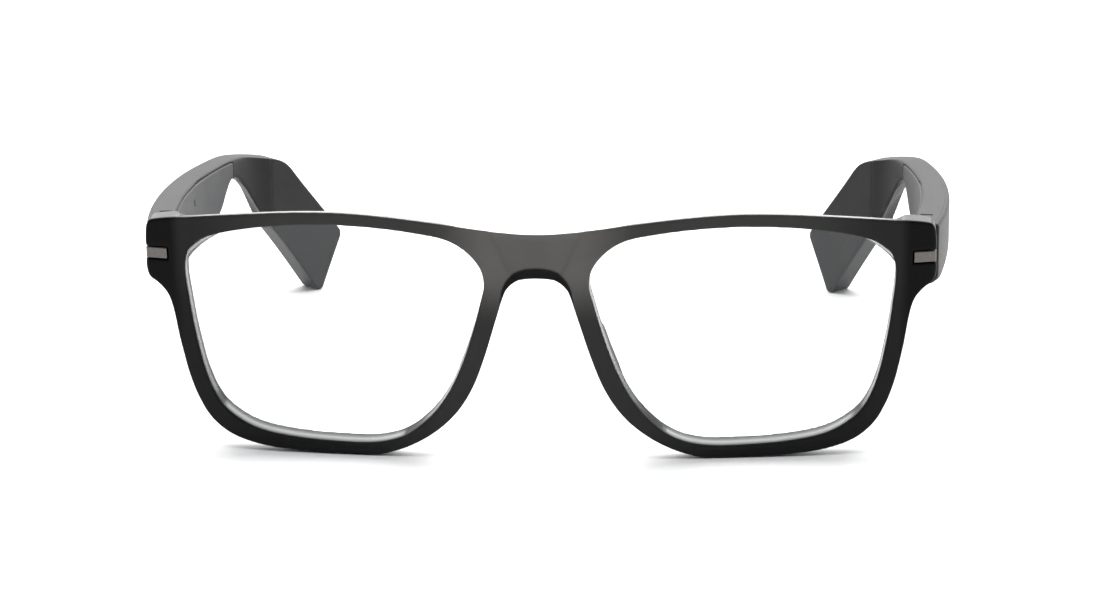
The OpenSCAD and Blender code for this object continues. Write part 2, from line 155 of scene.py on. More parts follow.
def closed_spline(points, steps=6):
    """A smooth closed curve through the points."""
    p = np.array(points, float)
    a, b, c, d = (np.roll(p, k, axis=0) for k in (1, 0, -1, -2))
    square, cube = 2 * a - 5 * b + 4 * c - d, 3 * b - a - 3 * c + d
    rows = [
        0.5 * (2 * b + (c - a) * t + square * t * t + cube * t**3) for t in np.arange(steps) / steps
    ]
    return np.stack(rows, axis=1).reshape(-1, 2)


def softened(points, reach=6, steps=7):
    """A closed outline with its corners bent round. A point's third number limits its bend's reach."""
    loop = []
    for i, point in enumerate(points):
        here, before, after = (
            np.array(q[:2], float) for q in (point, points[i - 1], points[(i + 1) % len(points)])
        )
        limit = point[2] if len(point) > 2 else reach
        start, end = (
            here + (other - here) * min(0.5, limit / np.linalg.norm(other - here))
            for other in (before, after)
        )
        loop += [
            (1 - t) ** 2 * start + 2 * t * (1 - t) * here + t * t * end
            for t in np.linspace(0, 1, steps)
        ]
    return np.array(loop)


SAME_PLACE = 1e-12


def loop_distance(u, v, loop):
    """The distance from each point (u, v) to a closed outline."""
    nearest = np.full(u.shape, np.inf)
    inside = np.zeros(u.shape, bool)
    for (au, av), (bu, bv) in zip(loop, np.roll(loop, -1, axis=0)):
        eu, ev = bu - au, bv - av
        length2 = eu * eu + ev * ev
        if length2 < SAME_PLACE:
            continue
        t = np.clip(((u - au) * eu + (v - av) * ev) / length2, 0, 1)
        nearest = np.minimum(nearest, (u - au - t * eu) ** 2 + (v - av - t * ev) ** 2)
        if ev:
            inside ^= ((av > v) != (bv > v)) & (u < au + (v - av) * eu / ev)
    return np.where(inside, -1, 1) * np.sqrt(nearest)


def sheet_distance(u, v, loop):
    """The distance to an outline, worked out once for every layer of the grid's middle direction."""
    flat_u, flat_v = np.broadcast_arrays(u[:, 0, :], v[:, 0, :])
    return loop_distance(flat_u, flat_v, loop)[:, None, :]


def both(a, b, radius=0):
    """What lies in both shapes, with the edge between them rounded."""
    corner = np.hypot(np.maximum(a + radius, 0), np.maximum(b + radius, 0))
    return np.minimum(np.maximum(a, b), -radius) + corner


def joined(a, b, radius):
    """Both shapes as one, with a fillet between them."""
    corner = np.hypot(np.maximum(radius - a, 0), np.maximum(radius - b, 0))
    return np.maximum(np.minimum(a, b), radius) - corner


def without(a, b, radius=0):
    """The first shape with the second cut out of it."""
    return both(a, -b, radius)


def capsule(x, y, z, start, end, radius):
    """A rod with round ends."""
    start, end = np.array(start, float), np.array(end, float)
    axis = end - start
    along = (x - start[0]) * axis[0] + (y - start[1]) * axis[1] + (z - start[2]) * axis[2]
    t = np.clip(along / (axis @ axis), 0, 1)
    gaps = [p - s - t * a for p, s, a in zip((x, y, z), start, axis)]
    return np.sqrt(sum(g * g for g in gaps)) - radius


def knuckle_room(x, y, z, radius, bottom, top):
    """The round room for the hinge's knuckles."""
    return np.maximum(np.hypot(x - HINGE[0], y - HINGE[1]) - radius, between(z, bottom, top))


def between(value, low, high):
    """A slab: negative from low to high."""
    return np.maximum(low - value, value - high)


def field_grid(low, high, step):
    """Evenly spaced coordinates over a box, shaped to be broadcast together."""
    lines = [np.arange(a, b + h, h) for a, b, h in zip(low, high, step)]
    return lines[0][:, None, None], lines[1][None, :, None], lines[2][None, None, :]


# ---- meshes ----


def mesh_object(name, points, faces):
    """An object of quads, in metres, with its faces turned outward."""
    corners = points[faces]
    volume = np.einsum("ij,ij->i", corners[:, 0], np.cross(corners[:, 1], corners[:, 2])).sum()
    volume += np.einsum("ij,ij->i", corners[:, 0], np.cross(corners[:, 2], corners[:, 3])).sum()
    if volume < 0:
        faces = faces[:, ::-1]
    mesh = bpy.data.meshes.new(name)
    mesh.vertices.add(len(points))
    mesh.vertices.foreach_set("co", (points * MM).astype(np.float32).ravel())
    mesh.loops.add(faces.size)
    mesh.loops.foreach_set("vertex_index", np.ascontiguousarray(faces, np.int32).ravel())
    mesh.polygons.add(len(faces))
    mesh.polygons.foreach_set("loop_start", np.arange(0, faces.size, 4, dtype=np.int32))
    mesh.update(calc_edges=True)
    mesh.validate()
    mesh.shade_smooth()
    piece = bpy.data.objects.new(name, mesh)
    bpy.context.scene.collection.objects.link(piece)
    return piece


def field_surface(field, low, step):
    """The surface where a field is zero, as points in its own coordinates and quads."""
    grid = openvdb.FloatGrid()
    grid.copyFromArray(np.ascontiguousarray(field, np.float32))
    points, quads = grid.convertToQuads(isovalue=0.0)
    return np.array(low) + points.astype(float) * np.array(step), quads


def thinned(piece, ratio):
    """Joins small faces where the surface is nearly flat."""
    modifier = piece.modifiers.new("thin", "DECIMATE")
    modifier.ratio = ratio
    graph = bpy.context.evaluated_depsgraph_get()
    thin = bpy.data.meshes.new_from_object(piece.evaluated_get(graph))
    piece.modifiers.clear()
    piece.data = thin
    thin.shade_smooth()
    return piece


def finished(piece, body, material, slot, *nodes):
    """Gives a piece its material, and tells the frame its body and the nodes it replaces. The slot is
    not used.
    """
    piece.data.materials.clear()
    piece.data.materials.append(material)
    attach(piece, body)
    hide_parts(*nodes)
    return piece


# ---- the front ----

OUTLINE = closed_spline(OUTER_HALF + [(-x, z) for x, z in OUTER_HALF[-2:0:-1]])
OPENING = closed_spline(LENS_OPENING)
FRONT_BOX = ((0, -0.54, -0.81), (73.5, 14.6, 49.5))
FRONT_STEP = 0.27
FRONT_FACES_KEPT = 0.6
INLAY_BOX = ((67.6, 5.4, 36), (73, 10.8, 39.7))
FINE_STEP = 0.08

# Rounded edges. The outer one is larger at the corners, inside two ramps.
OUTER_ROUND = 0.3
CORNER_ROUND = 0.6
CORNER_ROUND_X = (69.5, 2)
CORNER_ROUND_Z = (44, -1.5)
OPENING_ROUND = 0.35
BACK_ROUND = 0.9
INLAY_ROUND = 0.12
INLAY_BACK_ROUND = 0.05
KNUCKLE_ROUND = 0.1

# The top edge slopes back. Three ramps keep this near the top, end it before the blocks, and double it
# over the bridge.
TOP_DRAFT = 0.27
DRAFT_Z = (38, 4)
DRAFT_X = (67.3, -2.5)
DRAFT_BRIDGE = (18, -8)

# The shallow panel on the bridge. Its side leans outward: x, the height of that x, and the lean.
PANEL_DEPTH = 0.4
PANEL_SIDE = (4.75, 36.8, 0.478)
PANEL_BLUR = 1.1
PANEL_Z = (33, 3)

# The slope along the nose arch. The same band also carries painted shade in the front's colour.
ARCH_BAND = 2.5
ARCH_HALF = 6.7
ARCH_TOP = 40
ARCH_SLOPE = 0.4
FAR_OUTSIDE = -9

# The upper outer corner of a lens opening: centre x and z, radius, and how much it narrows at the back.
CORNER_TAPER = (51.2, 25.6, 17.1, 1.8)
TAPER_FROM = (55, 30)
TAPER_EASE = 2.2
TAPER_EASE_X = (59.5, -4.5)

# The block behind each corner: its top slopes, and its low inner part widens to the back.
BLOCK_SLOPE = (7.5, 45.1, math.radians(26))
BLOCK_TALL_X = 66.9
BLOCK_X = 65.3
BLOCK_FLARE = 0.19
BLOCK_LOW_TOP = 42.4
BLOCK_Z = 30
BLOCK_ROUND = 0.5
BLOCK_SIDE_ROUND = 1.0
BLOCK_LOW_ROUND = 0.4
BLOCK_BASE_ROUND = 0.6

# The pocket for the hinge leaf: from x, to x, and how far back it starts.
HINGE_POCKET = (66.4, 70.55, 10.15)

# The polish of the opening's walls and of the top edge, and the painted shade over the arch: ramps and
# shares.
ARCH_BLUR = 0.6
ARCH_DEPTH = (3.5, -1)
WALL_REACH = (0.4, -0.3)
WALL_FRONT = (0.25, 0.3)
WALL_BACK = (3.8, -0.4)
WALL_POLISH = (0.2, 0.6)
WALL_MIDDLE = 1.9
WALL_WIDTH = 0.7
TOP_REACH = (-1.6, 0.4)
TOP_POLISH_Z = (42, 1.5)
TOP_POLISH_DEPTH = (0.3, 0.3)
TOP_POLISH = (0.24, 0.4)
TOP_POLISH_X = (66, -6)

LENS_BEVEL = 0.2
LENS_RINGS = 26
LENS_HOLE = 0.02
RING_SPACING = 0.8


def front_to_row(points):
    """From the plane of the front to the row frame."""
    x, y, z = points.T
    return np.column_stack([
        x,
        FRONT_Y + y * math.cos(LEAN) - z * math.sin(LEAN) - PART_CENTRE_Y,
        FRONT_Z + y * math.sin(LEAN) + z * math.cos(LEAN),
    ])


def row_to_front(points):
    """From the row frame back to the plane of the front."""
    x, back, up = points.T
    back, up = back + PART_CENTRE_Y - FRONT_Y, up - FRONT_Z
    return x, back * math.cos(LEAN) + up * math.sin(LEAN), up * math.cos(LEAN) - back * math.sin(LEAN)


def wrapped_y(x, depth):
    """How far back the wrapped front lies at x, at a depth under its face."""
    return WRAP_R - np.sqrt((WRAP_R - depth) ** 2 - x * x)


def over_arch(x, z, outer):
    """How far a point is into the band along the nose arch, negative outside the band."""
    width = ARCH_BAND * np.sqrt(np.clip(1 - (x / ARCH_HALF) ** 2, 0, 1))
    return np.where((x < ARCH_HALF) & (z < ARCH_TOP), outer + width, FAR_OUTSIDE)


def face_relief(x, z, outer):
    """How far the face is set back: a shallow panel on the bridge and a slope over the nose arch."""
    side_x, side_z, lean = PANEL_SIDE
    side = side_x + lean * (z - side_z)
    panel = PANEL_DEPTH * smooth((side - x) / PANEL_BLUR + 0.5) * ramp(z, *PANEL_Z)
    return panel + ARCH_SLOPE * np.clip(over_arch(x, z, outer), 0, None)


def corner_block(x, back, up, outer, depth):
    """The block behind each outer corner: a tall part under a sloping top, and a low inner part."""
    slope_y, slope_z, angle = BLOCK_SLOPE
    along = (back - slope_y) * math.cos(angle) - (up - slope_z) * math.sin(angle)
    above = (back - slope_y) * math.sin(angle) + (up - slope_z) * math.cos(angle)
    behind_face, reach = np.maximum(outer, -depth), back - JOINT_Y
    tall = both(behind_face, both(BLOCK_TALL_X - x, reach, BLOCK_SIDE_ROUND), BLOCK_ROUND)
    tall = both(tall, np.minimum(along, above), BLOCK_ROUND)
    inner_side = BLOCK_X + BLOCK_FLARE * np.clip(depth - RIM_DEPTH, 0, None)
    low = both(behind_face, both(inner_side - x, reach, BLOCK_ROUND), BLOCK_LOW_ROUND)
    low = both(low, up - BLOCK_LOW_TOP, BLOCK_LOW_ROUND)
    return both(np.minimum(tall, low), BLOCK_Z + BLOCK_BASE_ROUND - up, BLOCK_BASE_ROUND)


def tapered_opening(x, z, depth):
    """The lens opening, whose upper outer corner narrows towards the back."""
    hole = sheet_distance(x, z, OPENING)
    centre_x, centre_z, radius, narrowing = CORNER_TAPER
    corner = np.hypot(x - centre_x, z - centre_z) - radius - TAPER_EASE * ramp(x, *TAPER_EASE_X)
    corner = corner - narrowing * (1 - np.clip(depth / RIM_DEPTH, 0, 1))
    return np.where((x > TAPER_FROM[0]) & (z > TAPER_FROM[1]), np.maximum(hole, corner), hole)


def front_solid(x, y, z):
    """Half of the front without its pockets, and how far back and up each point lies."""
    outer = sheet_distance(x, z, OUTLINE)
    depth = WRAP_R - np.hypot(x, WRAP_R - y)
    back = FRONT_Y + y * math.cos(LEAN) - z * math.sin(LEAN)
    up = FRONT_Z + y * math.sin(LEAN) + z * math.cos(LEAN)
    face = face_relief(x, z, outer) - depth
    at_corner = CORNER_ROUND - OUTER_ROUND
    outer_round = OUTER_ROUND + at_corner * ramp(x, *CORNER_ROUND_X) * ramp(z, *CORNER_ROUND_Z)
    draft = TOP_DRAFT * ramp(z, *DRAFT_Z) * ramp(x, *DRAFT_X) * (1 + ramp(x, *DRAFT_BRIDGE))
    drafted = (outer + draft * np.clip(depth, 0, RIM_DEPTH)) / np.hypot(1, draft)
    rims = both(both(drafted, face, outer_round), depth - RIM_DEPTH, BACK_ROUND)
    block = both(corner_block(x, back, up, outer, depth), face, outer_round)
    pad = capsule(x, y, z, *PAD_ENDS, PAD_R)
    solid = joined(np.minimum(rims, block), pad, PAD_FILLET)
    hole = tapered_opening(x, z, depth)
    return both(solid, both(-hole, face, OPENING_ROUND)), back, up


def inlay_band(x, y, z, grow):
    """The band round the corner in which the inlay lies."""
    return np.maximum(
        np.maximum(np.abs(z - INLAY_Z) - INLAY_H / 2 - grow, INLAY_X - grow - x),
        y - INLAY_BACK - grow,
    )


def front_frame():
    """The front with its pockets, worked out for one half and mirrored."""
    low, high = FRONT_BOX
    step = (FRONT_STEP,) * 3
    x, y, z = field_grid(low, high, step)
    solid, back, up = front_solid(x, y, z)
    inlay_pocket = np.maximum(inlay_band(x, y, z, INLAY_PLAY), -(solid + INLAY_POCKET_DEPTH))
    from_x, to_x, from_back = HINGE_POCKET
    leaf_pocket = np.maximum(
        between(x, from_x, to_x), np.maximum(from_back - back, between(up, *HINGE_Z))
    )
    knuckle = knuckle_room(x, back, up, *FRONT_KNUCKLE)
    cuts = ((inlay_pocket, INLAY_ROUND), (leaf_pocket, 0), (knuckle, KNUCKLE_ROUND))
    for cut, radius in cuts:
        solid = without(solid, cut, radius)
    whole = np.concatenate([solid[:0:-1], solid])
    points, quads = field_surface(whole, (-FRONT_STEP * (len(solid) - 1), low[1], low[2]), step)
    piece = mesh_object("front_frame_visual", front_to_row(points), quads)
    piece = thinned(piece, FRONT_FACES_KEPT)
    mark_front(piece)
    return piece


def mark_front(piece):
    """Stores two shares for the material: the painted shade over the nose arch and the polished edges.
    """
    places = np.empty(3 * len(piece.data.vertices), np.float32)
    piece.data.vertices.foreach_get("co", places)
    x, y, z = row_to_front(places.reshape(-1, 3).astype(float) / MM)
    x = np.abs(x)
    depth = WRAP_R - np.hypot(x, WRAP_R - y)
    outer, hole = loop_distance(x, z, OUTLINE), loop_distance(x, z, OPENING)
    # Painted shade: a share that darkens the colour along the nose arch, under its undercut.
    arch = smooth(over_arch(x, z, outer) / ARCH_BLUR + 0.5) * ramp(depth, *ARCH_DEPTH)
    wall = ramp(hole, *WALL_REACH) * ramp(depth, *WALL_FRONT) * ramp(depth, *WALL_BACK)
    wall *= WALL_POLISH[0] + WALL_POLISH[1] * np.exp(-(((depth - WALL_MIDDLE) / WALL_WIDTH) ** 2))
    top = ramp(outer, *TOP_REACH) * ramp(z, *TOP_POLISH_Z) * ramp(depth, *TOP_POLISH_DEPTH)
    top *= TOP_POLISH[0] + TOP_POLISH[1] * ramp(x, *TOP_POLISH_X)
    for name, share in (("arch", arch), ("polish", np.maximum(wall, top))):
        attribute = piece.data.attributes.new(name, "FLOAT", "POINT")
        attribute.data.foreach_set("value", share.astype(np.float32))


def corner_inlay(sign):
    """The metal strip let into the corner, bent round it."""
    low, high = INLAY_BOX
    step = (FINE_STEP,) * 3
    x, y, z = field_grid(low, high, step)
    solid = front_solid(x, y, z)[0]
    strip = both(solid + INLAY_SUNK, inlay_band(x, y, z, 0), INLAY_ROUND)
    strip = both(strip, -(solid + INLAY_THICKNESS), INLAY_BACK_ROUND)
    points, quads = field_surface(strip, low, step)
    points[:, 0] *= sign
    return mesh_object(side_name(sign) + "_corner_inlay_visual", front_to_row(points), quads)


def lens(sign):
    """A curved lens with a small bevel all round."""
    along = np.roll(OPENING, -1, axis=0) - np.roll(OPENING, 1, axis=0)
    along /= np.linalg.norm(along, axis=1)[:, None]
    outward = np.column_stack([along[:, 1], -along[:, 0]])
    if loop_distance(*(OPENING + outward * 0.1).T, OPENING).mean() < 0:
        outward = -outward
    rim = OPENING + outward * LENS_OVERLAP
    inner_rim = OPENING + outward * (LENS_OVERLAP - LENS_BEVEL)
    centre = OPENING.mean(axis=0)
    front, rear = LENS_SET_BACK, LENS_SET_BACK + LENS_THICKNESS
    spread = np.linspace(LENS_HOLE, 1, LENS_RINGS) ** RING_SPACING
    rings = [(centre + (inner_rim - centre) * t, front) for t in spread]
    rings += [(rim, front + LENS_BEVEL), (rim, (front + rear) / 2), (rim, rear - LENS_BEVEL)]
    rings += [(centre + (inner_rim - centre) * t, rear) for t in spread[::-1]]
    points = np.concatenate([
        np.column_stack([ring[:, 0], wrapped_y(ring[:, 0], depth), ring[:, 1]]) for ring, depth in rings
    ])
    count = len(OPENING)
    step = np.arange(count)
    band = np.column_stack([step, (step + 1) % count, (step + 1) % count + count, step + count])
    quads = np.concatenate([band + k * count for k in range(len(rings) - 1)])
    points[:, 0] *= sign
    piece = mesh_object(side_name(sign) + "_lens_visual", front_to_row(points), quads)
    close_ends(piece, count)
    return piece


def close_ends(piece, count):
    """Fills the small rings left at the middle of a lens."""
    shape = bmesh.new()
    shape.from_mesh(piece.data)
    shape.verts.ensure_lookup_table()
    last = len(shape.verts) - count
    for ring in (shape.verts[:count], shape.verts[last:]):
        shape.faces.new(list(ring))
    bmesh.ops.recalc_face_normals(shape, faces=shape.faces)
    shape.to_mesh(piece.data)
    shape.free()
    piece.data.shade_smooth()


# ---- the temples ----

TEMPLE_LOOP = softened(BOTTOM_EDGE + TOP_EDGE[::-1])
TEMPLE_BOX = ((-0.84, -3.2, -0.6), (120.1, 3.2, 44.2))
TEMPLE_STEP = (0.42, 0.16, 0.24)

# The bar's rounded edges: rounder at its lower start, sharper towards the tip.
BAR_ROUND = 0.9
TIP_SHARPER = 0.5
TIP_SHARPER_S = (80, 16)
START_ROUNDER = 1.2
START_ROUNDER_S = (5, -5)
START_ROUNDER_Z = (37, -3)

# The lower outer edge is raised before the bend, and the cut stays clear of the bar elsewhere.
TIP_LIFT = 4.5
LIFT_RISE_S = (86, 8)
LIFT_FALL_S = (100.5, -5)
LIFT_STEEPNESS = 0.7
LIFT_CLEAR = 0.5
LIFT_ROUND = 0.4

JOIN_OVERLAP = 0.03
JOIN_ROUND = 0.15
START_ROUND = 0.3
KNUCKLE_EDGE = 0.15
SMALL_ROUND = 0.1
FIT = 0.05

# The notch for prying the cover off, as a deeper seam, and the seat's rounding, fading to the rear.
PRY_NOTCH = 0.14
PRY_START_S = (46, 4)
PRY_END_S = (58, -4)
SEAT_FADE = 4
COVER_ROUND = 0.16
COVER_ROUND_S = (81, -4)

# The slot over the microphone: from s, to s, its middle across, half its width, and its depth.
MIC_SLOT = (9.9, 10.6, -0.5, 1.15, 1.4)

# The groove along the outer top edge: place across, radius, and where it fades in and out.
PARTING_LINE = (2.1, 0.17)
PARTING_START_S = (-1, 2)
PARTING_END_S = (92, -8)


def station(s):
    """The temple's middle line at distances s along it: x, y and heading outward from straight back."""
    s = np.asarray(s, float)
    found = None
    x0, y0, heading0, s0 = *TEMPLE_START, math.radians(TEMPLE_SPLAY), 0.0
    for length, turn in TEMPLE_PLAN:
        def at(along):
            bend = math.radians(turn) / length
            if bend:
                heading = heading0 + bend * along
                return (
                    x0 + (np.cos(heading0) - np.cos(heading)) / bend,
                    y0 + (np.sin(heading) - np.sin(heading0)) / bend,
                    heading,
                )
            return x0 + along * np.sin(heading0), y0 + along * np.cos(heading0), heading0 + 0 * along

        here = at(s - s0)
        if found is None:
            found = here
        found = tuple(np.where(s >= s0, new, old) for new, old in zip(here, found))
        x0, y0, heading0 = (float(value) for value in at(np.float64(length)))
        s0 += length
    return found


def temple_xy(s, n):
    """Where a point of a temple lies, seen from above."""
    x, y, heading = station(s)
    return x + n * np.cos(heading), y - n * np.sin(heading)


def edge_z(edge, s):
    """The height of the top or bottom edge at distances s."""
    return np.interp(s, [p[0] for p in edge], [p[1] for p in edge])


def middle_z(s):
    """The height halfway between the two edges."""
    return (edge_z(TOP_EDGE, s) + edge_z(BOTTOM_EDGE, s)) / 2


def temple_to_row(points, sign):
    s, n, z = points.T
    x, y = temple_xy(s, n)
    return np.column_stack([sign * x, y - PART_CENTRE_Y, z])


def side_name(sign):
    return "left" if sign > 0 else "right"


def temple_bar(s, n, z, profile):
    """The whole temple as one bar, with room for the core strip."""
    rise_and_fall = TIP_LIFT * ramp(s, *LIFT_RISE_S) * ramp(s, *LIFT_FALL_S)
    lift = rise_and_fall * (n + HALF_T) / (2 * HALF_T)
    sharper = TIP_SHARPER * ramp(s, *TIP_SHARPER_S)
    rounder = START_ROUNDER * ramp(s, *START_ROUNDER_S) * ramp(z, *START_ROUNDER_Z)
    bar = both(profile, np.abs(n) - HALF_T, BAR_ROUND - sharper + rounder)
    lifted_edge = (edge_z(BOTTOM_EDGE, s) + lift - z) * LIFT_STEEPNESS - LIFT_CLEAR * (1 - smooth(lift))
    bar = both(bar, lifted_edge, LIFT_ROUND)
    half_n, half_z = CORE_HALF
    core = np.maximum(
        np.maximum(between(s, *CORE_S), np.abs(n) - half_n), np.abs(z - middle_z(s)) - half_z
    )
    return without(bar, core)


def temple_parts(sign):
    """The temple shell, its inner cover and its tip, from one set of fields."""
    low, high = TEMPLE_BOX
    s, n, z = field_grid(low, high, TEMPLE_STEP)
    x, y = temple_xy(s, n)
    profile = sheet_distance(s, z, TEMPLE_LOOP)
    bar = temple_bar(s, n, z, profile)
    hinge = knuckle_room(x, y, z, *TEMPLE_KNUCKLE)
    fields = {
        "temple_shell": shell_field(s, n, z, x, y, bar, profile, hinge, sign),
        "inner_cover": cover_field(s, n, z, profile, hinge, sign),
        "temple_tip": both(bar, TIP_JOIN - JOIN_OVERLAP - s, JOIN_ROUND),
    }
    made = {}
    for part, field in fields.items():
        points, quads = field_surface(field, low, TEMPLE_STEP)
        name = f"{side_name(sign)}_{part}_visual"
        made[part] = mesh_object(name, temple_to_row(points, sign), quads)
    return made


def screw_bosses(shell, s, n, z):
    """Adds a boss with a blind hole for each screw of the hinge leaf."""
    for screw in LEAF_SCREWS:
        across = np.hypot(s - screw, z - LEAF_Z)
        boss = np.maximum(across - BOSS_R, between(n, *BOSS_N))
        shell = without(np.minimum(shell, boss), np.maximum(across - SCREW_HOLE_R, n - SCREW_HOLE_N))
    return shell


def shell_field(s, n, z, x, y, bar, profile, hinge, sign):
    """The hollow outer shell, with the cover's seat and every opening."""
    bottom, top = edge_z(BOTTOM_EDGE, s), edge_z(TOP_EDGE, s)
    inside = np.maximum(between(s, *CAVITY), np.maximum(profile + WALL, n - HALF_T + WALL))
    pry_notch = PRY_NOTCH * ramp(s, *PRY_START_S) * ramp(s, *PRY_END_S)
    seat = np.maximum(profile + REBATE_INSET - pry_notch, n + HALF_T - COVER_T - FIT)
    seat = np.maximum(between(s, *REBATE), seat)
    shell = both(bar, s - TIP_JOIN - JOIN_OVERLAP, JOIN_ROUND)
    seat_round = SMALL_ROUND * ramp(s, REBATE[1] - 1, -SEAT_FADE)
    shell = screw_bosses(without(without(shell, inside), seat, seat_round), s, n, z)
    web_x, web_y, web_z = LEAF_WEB
    web = np.maximum(between(x, *web_x), np.maximum(between(y, *web_y), between(z, *web_z)))
    from_s, to_s, mid_n, half_n, slot_depth = MIC_SLOT
    mic_slot = np.maximum(np.abs(n - mid_n) - half_n, top - slot_depth - z)
    mic_slot = np.maximum(between(s, from_s, to_s), mic_slot)
    seat_and_hole = []
    for half_s, half_width, height in (SPEAKER_SEAT, SPEAKER_HOLE):
        across = np.maximum(np.abs(n) - half_width, z - bottom - height)
        seat_and_hole.append(np.maximum(np.abs(s - SPEAKER_S) - half_s, across))
    mesh_seat, sound_hole = seat_and_hole
    parting_n, parting_r = PARTING_LINE
    parting_fade = ramp(s, *PARTING_START_S) * ramp(s, *PARTING_END_S)
    parting = np.hypot(n - parting_n, z - top) - parting_r * parting_fade
    cuts = [
        (hinge, KNUCKLE_EDGE), (web, 0), (mic_slot, SMALL_ROUND), (mesh_seat, SMALL_ROUND),
        (sound_hole, 0), (parting, 0),
    ]
    if sign < 0:
        cuts.append((button_hole(s, n, z - bottom), SMALL_ROUND))
    for cut, radius in cuts:
        shell = without(shell, cut, radius)
    return both(shell, JOINT_Y + JOINT_GAP - y, START_ROUND)


def cover_field(s, n, z, profile, hinge, sign):
    """The inner cover, with the contacts' holes, and the status light's slit on the right temple."""
    plan = np.maximum(profile + COVER_INSET, between(s, *COVER_S))
    cover = both(plan, -(n + HALF_T), COVER_ROUND * ramp(s, *COVER_ROUND_S))
    cover = np.maximum(cover, n + HALF_T - COVER_T)
    for contact in CONTACTS:
        hole = np.hypot(s - contact, z - middle_z(s)) - CONTACT_HOLE_R
        cover = without(cover, hole, SMALL_ROUND)
    if sign < 0:
        half_s, below, above = LIGHT_SLIT
        slit_z = edge_z(TOP_EDGE, LIGHT_S) - LIGHT_DROP
        slit = np.maximum(np.abs(s - LIGHT_S) - half_s, between(z, slit_z + below, slit_z + above))
        cover = without(cover, slit, SMALL_ROUND)
    return without(cover, hinge, KNUCKLE_EDGE)


def button_distance(s, n):
    """The distance from the middle line of the button's long round outline."""
    return np.hypot(np.maximum(np.abs(s - BUTTON_S) - BUTTON_REACH, 0), n)


def button_hole(s, n, height):
    """The hole in the temple's underside that the button's cap moves in."""
    return np.maximum(button_distance(s, n) - BUTTON_R - BUTTON_PLAY, height - BUTTON_HOLE_DEPTH)


BUTTON_SPAN = 4.6
BUTTON_STEP = (0.12, 0.1, 0.08)
CAP_TOP = 1.55
CAP_ROUND = 0.3
DISH_R = 1.5
DISH_DROP = 1.1
DISH_FLATNESS = 0.9
FLANGE_REACH = 0.35
FLANGE_Z = (1.5, 1.8)
STEM_HALF = 0.5
STEM_Z = (1, 1.9)


def press_button():
    """The button's cap, dished, set just proud of the temple's underside, on its flange and stem."""
    low, high = (BUTTON_S - BUTTON_SPAN, -2, 28), (BUTTON_S + BUTTON_SPAN, 2, 34)
    s, n, z = field_grid(low, high, BUTTON_STEP)
    height = z - edge_z(BOTTOM_EDGE, s) + BUTTON_PROUD
    across = button_distance(s, n)
    cap = both(across - BUTTON_R, between(height, 0, CAP_TOP), CAP_ROUND)
    dish = across + (height + DISH_DROP) * DISH_FLATNESS - DISH_R
    flange = both(across - BUTTON_R - FLANGE_REACH, between(height, *FLANGE_Z), FIT)
    stem = np.maximum(np.maximum(np.abs(s - BUTTON_S), np.abs(n)) - STEM_HALF, between(height, *STEM_Z))
    field = np.minimum(np.minimum(without(cap, dish, SMALL_ROUND), flange), stem)
    points, quads = field_surface(field, low, BUTTON_STEP)
    return mesh_object("press_button_visual", temple_to_row(points, -1), quads)


# ---- materials ----

MOULD_GRAIN = 0.002
FRONT_GRAIN = 0.008
BRUSH_DEPTH = 0.006
TRACK_HEIGHT = 0.02


class Nodes:
    """A material's node tree. A value that is a socket is linked, any other is set."""

    def __init__(self, name):
        self.material = bpy.data.materials.new(name)
        self.material.use_nodes = True
        self.tree = self.material.node_tree
        self.tree.nodes.clear()

    def add(self, kind, settings=(), **inputs):
        """A node. Inputs are named with _ for a space, or i and their number."""
        node = self.tree.nodes.new("ShaderNode" + kind)
        for key, value in dict(settings).items():
            setattr(node, key, value)
        for key, value in inputs.items():
            name = key.replace("_", " ")
            numbered = key[0] == "i" and key[1:].isdigit()
            self.feed(node.inputs[int(key[1:])] if numbered else node.inputs[name], value)
        return node

    def feed(self, socket, value):
        if isinstance(value, bpy.types.NodeSocket):
            self.tree.links.new(value, socket)
        else:
            socket.default_value = value

    def noise(self, scale, detail=2, stretch=(1, 1, 1)):
        """Noise over the piece's own coordinates. Scale is in features per metre."""
        place = self.add("TexCoord").outputs["Object"]
        place = self.add("Mapping", Vector=place, Scale=stretch).outputs["Vector"]
        return self.add("TexNoise", Vector=place, Scale=scale, Detail=detail).outputs["Fac"]

    def ranged(self, value, low, high, out_low, out_high):
        """A value from low to high, turned into one from out_low to out_high by a soft step."""
        settings = {"interpolation_type": "SMOOTHSTEP"}
        node = self.add("MapRange", settings, i0=value, i1=low, i2=high, i3=out_low, i4=out_high)
        return node.outputs[0]

    def mixed(self, share, first, second):
        """The first colour, with a share of the second."""
        node = self.add("Mix", {"data_type": "RGBA"}, Factor=share)
        self.feed(node.inputs[6], first)
        self.feed(node.inputs[7], second)
        return node.outputs[2]

    def position(self):
        place = self.add("TexCoord").outputs["Object"]
        return self.add("SeparateXYZ", Vector=place).outputs

    def bump(self, height, distance, strength=1.0):
        return self.add("Bump", Height=height, Distance=distance, Strength=strength).outputs["Normal"]

    def done(self, shader):
        self.add("OutputMaterial", Surface=shader)
        return self.material


def grey(value, tint=(1, 1, 1)):
    """A grey of one value, tinted a little."""
    return (value * tint[0], value * tint[1], value * tint[2], 1)


def moulded(name, colour, dark, roughness=(0.4, 0.52)):
    """Matt moulded plastic: a fine spark-eroded grain, soft mottling and lighter worn edges."""
    n = Nodes(name)
    light = tuple(min(1, c * 1.9 + 0.01) for c in colour[:3]) + (1,)
    mottle = n.noise(90, 3)
    tone = n.mixed(n.ranged(mottle, 0.35, 0.65, 0, 1), dark, colour)
    edge = n.add("NewGeometry").outputs["Pointiness"]
    worn = n.mixed(n.ranged(edge, 0.52, 0.62, 0, 0.35), tone, light)
    speck = n.noise(8000, 2)
    rough = n.ranged(speck, 0.3, 0.7, *roughness)
    shader = n.add(
        "BsdfPrincipled", Base_Color=worn, Roughness=rough, Normal=n.bump(speck, MOULD_GRAIN * MM),
        IOR=1.49, Specular_IOR_Level=0.1,
    )
    return n.done(shader.outputs[0])


